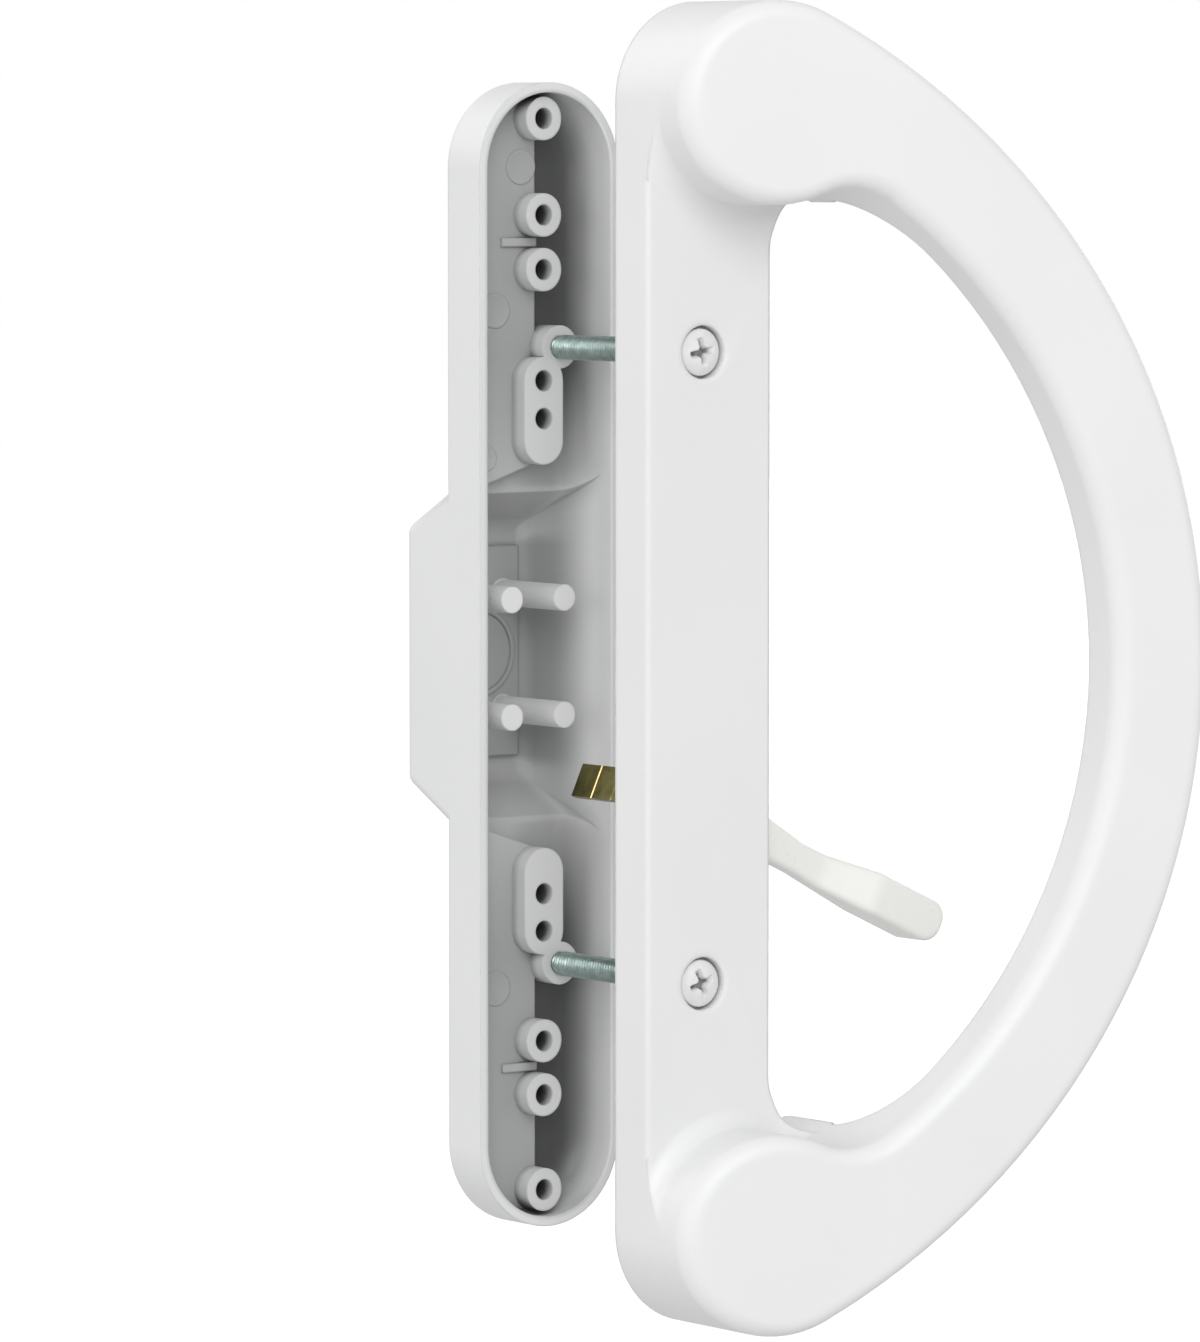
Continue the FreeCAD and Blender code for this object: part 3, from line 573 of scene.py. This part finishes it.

# shares of painted shade on the ledge, the bottom, the bosses and the pockets
ledge = times(pull_white_and_shade, LEDGE_SHADE, level, rise_mm(pull_white_and_shade, y, LEDGE_SPAN_Y))
behind = times(pull_white_and_shade, level, rise_mm(pull_white_and_shade, y, BEHIND_LEDGE_Y))
depth = sum_up(pull_white_and_shade, "MULTIPLY_ADD", rise_mm(pull_white_and_shade, high, HUMP_END_Z),
               SHALLOWER * MM, y)
sunk = sum_up(pull_white_and_shade, "MAXIMUM", behind, rise_mm(pull_white_and_shade, depth, DEPTH_SPAN_Y))
open_side = sum_up(pull_white_and_shade, "MULTIPLY_ADD", rise_mm(pull_white_and_shade, x, OPEN_X), OPEN_SHARE,
                   1.0 - OPEN_SHARE)
slope = sum_up(pull_white_and_shade, "SUBTRACT", rise_mm(pull_white_and_shade, high, SLOPE_START_Z),
               rise_mm(pull_white_and_shade, high, SLOPE_END_Z))
off_slope = sum_up(pull_white_and_shade, "MULTIPLY_ADD", times(pull_white_and_shade, slope, level),
                   -SLOPE_LIGHTER, 1.0)
bottom = times(pull_white_and_shade, sunk, open_side, off_slope)
bosses = times(pull_white_and_shade, level, BOSS_SHADE)
shade_share = sum_up(pull_white_and_shade, "MAXIMUM", sum_up(pull_white_and_shade, "MAXIMUM", ledge, bottom), bosses)
pocket = times(pull_white_and_shade, hidden, rise_mm(pull_white_and_shade, y, POCKET_SPAN_Y),
               rise_mm(pull_white_and_shade, high, NARROW_Z))

# the wall next to the rim painted lighter, then painted shade laid over the hollow
rim = blend(pull_white_and_shade, times(pull_white_and_shade, hidden, wall), coat, RIM_LIGHT_WHITE)
shade_area = times(pull_white_and_shade, hidden, off_posts(pull_white_and_shade, x, high))
shaded = blend(pull_white_and_shade, times(pull_white_and_shade, shade_area, shade_share), rim, SHADE_GREY)
pocketed = blend(pull_white_and_shade, pocket, shaded, DEEP_SHADE_GREY)
print("coated", pull_white_and_shade.name, "with", len(pull_white_and_shade.node_tree.nodes), "nodes")

# %% [markdown]
# ## Painted shade in the holes of the bosses
# The holes in the bosses are painted dark, as painted shade. They are many and small, and a
# rule for each would be long. An occlusion node finds them all: it is dark where walls are
# close all round, and here it looks only a little way.

# %% Painted shade in the holes of the pull
HOLE_REACH = 0.004
HOLE_SPAN = (0.10, 0.42)

# painted shade: darker where the occlusion node finds walls close all round
closed = add(pull_white_and_shade, "ShaderNodeAmbientOcclusion", Distance=HOLE_REACH, samples=6,
             only_local=True)
hole = remainder(pull_white_and_shade, rise(pull_white_and_shade, closed.outputs["AO"], *HOLE_SPAN))
holed = blend(pull_white_and_shade, times(pull_white_and_shade, hole, hidden), pocketed, DEEP_SHADE_GREY)
link(pull_white_and_shade, holed, shader.inputs["Base Color"])
pull = smooth_copy("exterior_pull", "pull_casting", "fixed")
dress(pull, pull_white_and_shade)
print(pull.name, len(pull.data.polygons), "faces")

# %% [markdown]
# ## The thumb lever
# The lever is moulded, not cast: it is a warmer white, glossier than the coat, and light
# goes a little way into it. Subsurface scattering over half a millimetre gives that soft
# edge. The faint waves of the mould's polish keep its gloss from looking like glass.

# %% Lever
def moulded_white(name):
    """Semi-gloss moulded white that light enters a little way."""
    dark = (0.800, 0.812, 0.775)
    light = (0.825, 0.833, 0.800)
    made, shader = new_material(name, light, 0.30)
    drift = ramp(made, grain(made, 0.012), 0.0, 1.0)
    link(made, blend(made, drift, dark, light), shader.inputs["Base Color"])
    link(made, ramp(made, grain(made, 0.0008, 2.0), 0.27, 0.36), shader.inputs["Roughness"])
    bump(made, shader, grain(made, 0.0020, 2.0), 0.000008, edge=0.0007)
    shader.inputs["Subsurface Weight"].default_value = 0.1
    shader.inputs["Subsurface Radius"].default_value = (0.0009, 0.0008, 0.0006)
    shader.inputs["Subsurface Scale"].default_value = 1.0
    return made


lever = smooth_copy("thumb_lever", "lever_moulding", "lever")
dress(lever, moulded_white("lever_white"))
print(lever.name, len(lever.data.polygons), "faces")

# %% [markdown]
# ## The brass strip
# The tailpiece is sheared brass gone dull and olive brown, with darker stains. It is scored
# across, so that it can be snapped to suit the door, and the fresh metal in the scores
# shines. The sheared edges are painted lighter, partly for their fresh metal and partly as a
# painted highlight. The stains are noise at the size of a fingertip print. The bright scores
# are masked by the distance from the strip's own end, and the edges by the way that they
# face.

# %% Tailpiece
SCORE_FROM_END = 0.0052
SCORE_HALF_WIDTH = 0.00021
STRIP_TURN = math.radians(24.8)
BRASS_DARK = (0.150, 0.140, 0.058)
BRASS_LIGHT = (0.270, 0.235, 0.082)
HEAT_STAIN = (0.26, 0.14, 0.04)
# sheared edges painted lighter: fresh metal and a painted highlight
SHEARED_EDGE_AND_HIGHLIGHT = (0.62, 0.60, 0.46)
FRESH_BRASS = (0.86, 0.68, 0.32)
_, tail_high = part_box("tailpiece")


def dull_brass(name):
    """Tarnished brass, bright in its scores, its sheared edges lighter as fresh metal and painted
    highlight.
    """
    made, shader = new_material(name, BRASS_LIGHT, 0.34, 1.0)
    stains = ramp(made, grain(made, 0.0022, 4.0), 0.0, 1.0)
    shades = blend(made, stains, BRASS_DARK, BRASS_LIGHT)
    _, y, _ = axes(made)
    from_end = sum_up(made, "SUBTRACT", tail_high.y, y)
    fold = sum_up(made, "PINGPONG", from_end, SCORE_FROM_END)
    near = sum_up(made, "SUBTRACT", SCORE_FROM_END, fold)
    score = sum_up(made, "LESS_THAN", near, SCORE_HALF_WIDTH)
    warm = remainder(made, rise(made, near, 0.0, 0.0016))
    # edges painted lighter by the way they face: fresh metal and a painted highlight
    nx, _, nz = axes(made, "Normal")
    broad = sum_up(made, "ADD", times(made, nx, math.sin(STRIP_TURN)),
                   times(made, nz, math.cos(STRIP_TURN)))
    edge = rise(made, sum_up(made, "ABSOLUTE", broad), 0.6, 0.9)
    for mask, colour in ((times(made, warm, 0.35), HEAT_STAIN),
                         (times(made, edge, 0.80), SHEARED_EDGE_AND_HIGHLIGHT), (score, FRESH_BRASS)):
        shades = blend(made, mask, shades, colour)
    link(made, shades, shader.inputs["Base Color"])
    link(made, ramp(made, grain(made, 0.0010, 3.0), 0.26, 0.46), shader.inputs["Roughness"])
    bump(made, shader, grain(made, 0.0004, 3.0, stretch=(1.0, 0.2, 1.0)), 0.000008,
         edge=0.0001)
    return made


dress("tailpiece", dull_brass("tail_brass"))
print("strip ends at", round(tail_high.y, 4))

# %% [markdown]
# ## Small plated parts
# The retainer is zinc-plated sheet steel: grey with a cold cast, brushed one way by the
# rolling mill. The washer behind the lever is plain nylon. Both are seen only from behind,
# through the open back of the plate.

# %% Retainer and washer
def plated(name, dark, light, roughness, stretch):
    """Zinc-plated steel with the lines of its making."""
    made, shader = new_material(name, light, roughness, 1.0)
    lines = ramp(made, grain(made, 0.0006, 4.0, stretch=stretch), 0.0, 1.0)
    link(made, blend(made, lines, dark, light), shader.inputs["Base Color"])
    link(made, ramp(made, grain(made, 0.004), roughness - 0.06, roughness + 0.08),
         shader.inputs["Roughness"])
    bump(made, shader, lines, 0.000005)
    return made


def nylon(name):
    """Natural nylon, slightly cloudy."""
    dark = (0.60, 0.58, 0.52)
    light = (0.70, 0.68, 0.62)
    made, shader = new_material(name, light, 0.5)
    cloud = ramp(made, grain(made, 0.002), 0.0, 1.0)
    link(made, blend(made, cloud, dark, light), shader.inputs["Base Color"])
    bump(made, shader, grain(made, 0.0005), 0.000006)
    return made


ROLLED_ALONG_Z = (1.0, 1.0, 0.1)
sheet_zinc = plated("sheet_zinc", (0.40, 0.42, 0.42), (0.56, 0.58, 0.58), 0.36,
                    ROLLED_ALONG_Z)
dress("retainer_plate", sheet_zinc)
dress("friction_washer", nylon("washer_nylon"))
print("plated", sheet_zinc.name)

# %% [markdown]
# ## Thread and cross
# The solid model keeps each screw as a plain rod with a crowned head. The eye looks for
# the thread and the cross in the head, so each screw is replaced by a mesh of the same
# form. A thread could be a curve wound round a rod, but a real one is cut from it: here
# the rod is a grid of rings and columns, and the radius of each point follows a sharp
# wave that climbs one pitch each turn. The head is a second grid in which the depth of the
# cross is a function of the place, so its walls and rounded corners come out in one skin.

# %% Thread and cross
CREST_STEEPNESS = 1.2
WALL_SHARE = 0.28
CORE_SHARE = 0.95
ARM_RUNOUT = 0.5


def wave(share):
    """Height of a thread, from 0 at its root to 1 at its crest, over one pitch."""
    ridge = 1.0 - abs(2.0 * (share % 1.0) - 1.0)
    return min(1.0, ridge * CREST_STEEPNESS)


def cross_depth(x, z, arm, width):
    """How deep a cross recess is at a place, as a share of its full depth."""
    edge = width * WALL_SHARE
    share = (width * CORE_SHARE - math.hypot(x, z)) / edge
    for along, aside in ((abs(x), abs(z)), (abs(z), abs(x))):
        end = (arm - along) / (arm * ARM_RUNOUT)
        wall = (width / 2 - aside) / edge
        share = max(share, min(end, wall))
    return min(1.0, max(0.0, share))


print("a cross is", WALL_SHARE, "of its width from edge to full depth")

# %% [markdown]
# ## A skin from rings
# Turned things are closed tubes whose radius changes, so one helper joins a list of rings
# into a mesh and caps both ends. A lathe modifier on a profile would give the same for a
# plain rod, but not for a thread or a cross, whose rings aren't round.

# %% Skin from rings
COLUMNS = 72
TURNED_SHARP = math.radians(38)


def turned_skin(name, rings):
    """One closed mesh from rings of equal count, capped at both ends."""
    sheet = bmesh.new()
    loops = [[sheet.verts.new(point) for point in ring] for ring in rings]
    count = len(loops[0])
    for first, second in zip(loops, loops[1:]):
        for i in range(count):
            j = (i + 1) % count
            sheet.faces.new((first[i], first[j], second[j], second[i]))
    sheet.faces.new(list(reversed(loops[0])))
    sheet.faces.new(loops[-1])
    bmesh.ops.recalc_face_normals(sheet, faces=sheet.faces)
    mesh = bpy.data.meshes.new(name)
    sheet.to_mesh(mesh)
    sheet.free()
    mesh.shade_smooth()
    mesh.set_sharp_from_angle(angle=TURNED_SHARP)
    piece = bpy.data.objects.new(name, mesh)
    bpy.context.scene.collection.objects.link(piece)
    return piece


print("a ring has", COLUMNS, "points")

# %% [markdown]
# ## The rings of a screw
# From the middle of the head outwards and then down the shank, the rings follow a real
# screw: crowned face with its recess, rim with broken edges, seat, bare shank, thread that
# fades in and out over one pitch, and a plain tip.

# %% Rings of a screw
HEAD_RINGS = 46
HEAD_INNER = 0.01
HEAD_OUTER = 0.965
BROKEN_EDGE = 0.12
NECK_ROUND = 0.25
TIP_ROUND = 0.3
ROWS_PER_PITCH = 8


def screw_rings(place, facing, turned, head, recess, shank, thread, tip):
    """Rings of a crowned screw whose axis lies along Y. Lengths are in millimetres.

    place: centre of the head's seat. facing: -1 where the head looks towards -Y.
    head: radius, rim height and crown. recess: arm, width and depth.
    shank: radius and length. thread: crest, root, pitch and length. tip: radius and length.
    """
    radius, rim, crown = head
    arm, width, depth = recess
    neck, neck_length = shank
    crest, root, pitch, length = thread
    tip_radius, tip_length = tip
    rings = []

    def ring(size, out):
        """One ring, whose size and height may be rules of the place on it."""
        points = []
        for i in range(COLUMNS):
            turn = 2 * math.pi * i / COLUMNS
            reach = size(i / COLUMNS) if callable(size) else size
            x = reach * math.cos(turn)
            z = reach * math.sin(turn)
            y = out(x, z) if callable(out) else out
            points.append(((place[0] + x) * MM, (place[1] + facing * y) * MM,
                           (place[2] + z) * MM))
        rings.append(points)

    def crowned(x, z):
        """Height of the head's face, less the cross in it."""
        share = math.hypot(x, z) / radius
        c, s = math.cos(turned), math.sin(turned)
        sunk = cross_depth(c * x + s * z, c * z - s * x, arm, width)
        return rim + crown * (1 - share * share) - depth * sunk

    for i in range(HEAD_RINGS):
        out_share = HEAD_INNER + (HEAD_OUTER - HEAD_INNER) * i / (HEAD_RINGS - 1)
        ring(radius * out_share, crowned)
    ring(radius - BROKEN_EDGE * 0.3, rim - BROKEN_EDGE * 0.3)
    ring(radius, rim - BROKEN_EDGE)
    ring(radius, BROKEN_EDGE)
    ring(radius - BROKEN_EDGE, 0.0)
    ring(neck + NECK_ROUND, 0.0)
    ring(neck, -NECK_ROUND)
    ring(neck, -neck_length)
    rows = int(length / pitch * ROWS_PER_PITCH)
    for i in range(rows + 1):
        along = length * i / rows
        fade = min(1.0, along / pitch, (length - along) / pitch)
        ring(lambda share: root + (crest - root) * wave(share + along / pitch) * fade,
             -(neck_length + along))
    start = neck_length + length
    if tip_length > 0.5:
        ring(tip_radius, -(start + 0.15))
    ring(tip_radius, -(start + tip_length - TIP_ROUND))
    ring(tip_radius - TIP_ROUND, -(start + tip_length))
    return rings


print("a thread has", ROWS_PER_PITCH, "rings a pitch")

# %% [markdown]
# ## The two long screws
# These are the screws that hold both castings on the door. Their heads are painted with
# the handle, and the zinc below keeps its cold blue-green. One skin carries two finishes:
# each face asks how far along the screw it sits and takes paint or zinc. Towards the bottom
# of the recess the paint turns dark grey in patches.

# %% Mounting screws
SCREW_SPACING_HALF = 50.0
SEAT_Y = -5.45
LONG_HEAD = (3.75, 1.7, 0.9)
LONG_RECESS = (2.4, 1.1, 1.7)
LONG_SHANK = (1.75, 5.75)
LONG_THREAD = (2.0, 1.55, 0.7, 29.3)
LONG_TIP = (1.75, 4.95)
PAINT_END = 0.1
# the paint turns dark grey in patches towards the bottom of the recess
RECESS_DARK_Y = (SEAT_Y - 1.75, SEAT_Y - 1.0)
RECESS_DARK_GREY = (0.20, 0.20, 0.20)


def painted_head(name):
    """White paint over a screw head, dark grey in patches towards the bottom of its recess."""
    dark = (0.74, 0.74, 0.735)
    light = (0.81, 0.812, 0.81)
    made, shader = new_material(name, light, 0.34)
    patch = ramp(made, grain(made, 0.0016, 3.0), 0.0, 1.0)
    paint = blend(made, patch, dark, light)
    _, y, _ = axes(made)
    # darker in patches towards the bottom of the recess
    recess_dark = times(made, rise_mm(made, y, RECESS_DARK_Y),
                 ramp(made, grain(made, 0.0007, 3.0), 0.75, 1.0))
    link(made, blend(made, recess_dark, paint, RECESS_DARK_GREY), shader.inputs["Base Color"])
    link(made, ramp(made, grain(made, 0.0008), 0.28, 0.42), shader.inputs["Roughness"])
    bump(made, shader, grain(made, 0.0009, 3.0), 0.000012)
    return made


def blue_zinc(name):
    """Blue-passivated zinc plate, slightly cloudy."""
    dark = (0.24, 0.315, 0.30)
    light = (0.38, 0.455, 0.43)
    made, shader = new_material(name, light, 0.30, 1.0)
    cloud = ramp(made, grain(made, 0.0012, 3.0), 0.0, 1.0)
    link(made, blend(made, cloud, dark, light), shader.inputs["Base Color"])
    link(made, ramp(made, grain(made, 0.001), 0.28, 0.45), shader.inputs["Roughness"])
    bump(made, shader, grain(made, 0.0003), 0.000003)
    return made


screw_paint = painted_head("screw_paint")
screw_zinc = blue_zinc("screw_zinc")


def mounting_screw(name, z, turned):
    """A long painted screw, thread and all, in place of its plain solid."""
    rings = screw_rings((0.0, SEAT_Y, z), -1, turned, LONG_HEAD, LONG_RECESS, LONG_SHANK,
                        LONG_THREAD, LONG_TIP)
    piece = turned_skin(name + "_threaded", rings)
    piece.data.materials.append(screw_paint)
    piece.data.materials.append(screw_zinc)
    under_head = (SEAT_Y + PAINT_END) * MM
    for face in piece.data.polygons:
        face.material_index = 0 if face.center.y < under_head else 1
    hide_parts(name)
    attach(piece, "fixed")
    return piece


for name, z, turned in (("mounting_screw_upper", SCREW_SPACING_HALF, math.radians(11)),
                        ("mounting_screw_lower", -SCREW_SPACING_HALF, math.radians(20))):
    made = mounting_screw(name, z, turned)
    print(made.name, len(made.data.polygons), "faces")

# %% [markdown]
# ## The retainer's small screws
# Two short screws clamp the sheet retainer behind the lever. They face the other way, with
# their heads in the hollow back of the plate, so the same rings are run towards +Y.

# %% Retainer screws
RETAINER_X = -3.8
RETAINER_Z = (-7.4, -31.4)
RETAINER_FACE = -1.15
RETAINER_TURNED = (math.radians(20), math.radians(64))
SHORT_HEAD = (2.1, 0.5, 0.4)
SHORT_RECESS = (1.2, 0.6, 0.7)
SHORT_SHANK = (1.1, 0.8)
SHORT_THREAD = (1.1, 0.88, 0.5, 2.9)
SHORT_TIP = (0.9, 0.7)

small_zinc = plated("small_zinc", (0.44, 0.45, 0.45), (0.60, 0.61, 0.60), 0.34, None)


def gathered(name, skins):
    """Several skins made into one piece."""
    sheet = bmesh.new()
    for skin in skins:
        sheet.from_mesh(skin.data)
        bpy.data.objects.remove(skin)
    mesh = bpy.data.meshes.new(name)
    sheet.to_mesh(mesh)
    sheet.free()
    piece = bpy.data.objects.new(name, mesh)
    bpy.context.scene.collection.objects.link(piece)
    return piece


def retainer_screws():
    """Both short screws as one piece, as the solid model has them."""
    skins = []
    for z, turned in zip(RETAINER_Z, RETAINER_TURNED):
        rings = screw_rings((RETAINER_X, RETAINER_FACE, z), 1, turned, SHORT_HEAD,
                            SHORT_RECESS, SHORT_SHANK, SHORT_THREAD, SHORT_TIP)
        skins.append(turned_skin("retainer_screw", rings))
    piece = gathered("retainer_screws_crossed", skins)
    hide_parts("retainer_screws")
    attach(piece, "fixed")
    return dress(piece, small_zinc)


made = retainer_screws()
print(made.name, len(made.data.polygons), "faces")

# %% [markdown]
# ## Ejector marks
# Pins push a casting out of its die, and each leaves a round print on the hidden side. Four
# show on the wide ledge inside the pull: a shallow disc with a fine raised rim. A painted
# circle would vanish from the side, so each is a real turned skin, a tenth of a millimetre
# proud, sunk a little into the ledge so that no gap shows.

# %% Ejector marks
LEDGE_Y = 33.4
MARK_COLUMNS = 48
MARKS = ((-5.3, 79.0, 1.0), (-10.4, 55.9, 1.0), (-12.3, 32.2, 0.75), (-10.4, -53.8, 1.0))
MARK_PROFILE = ((0.03, 0.05), (2.35, 0.05), (2.55, 0.11), (2.75, 0.13), (2.9, 0.08),
                (2.9, -0.15))


def ejector_marks():
    """The prints of the die's pins, as one piece."""
    turns = [2 * math.pi * i / MARK_COLUMNS for i in range(MARK_COLUMNS)]
    skins = []
    for x, z, share in MARKS:
        rings = []
        for radius, proud in MARK_PROFILE:
            rings.append([((x + share * radius * math.cos(t)) * MM, (LEDGE_Y - proud) * MM,
                           (z + share * radius * math.sin(t)) * MM) for t in turns])
        skins.append(turned_skin("mark", rings))
    piece = gathered("ejector_marks", skins)
    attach(piece, "fixed")
    return dress(piece, pull_white_and_shade)


made = ejector_marks()
print(made.name, len(made.data.polygons), "faces")
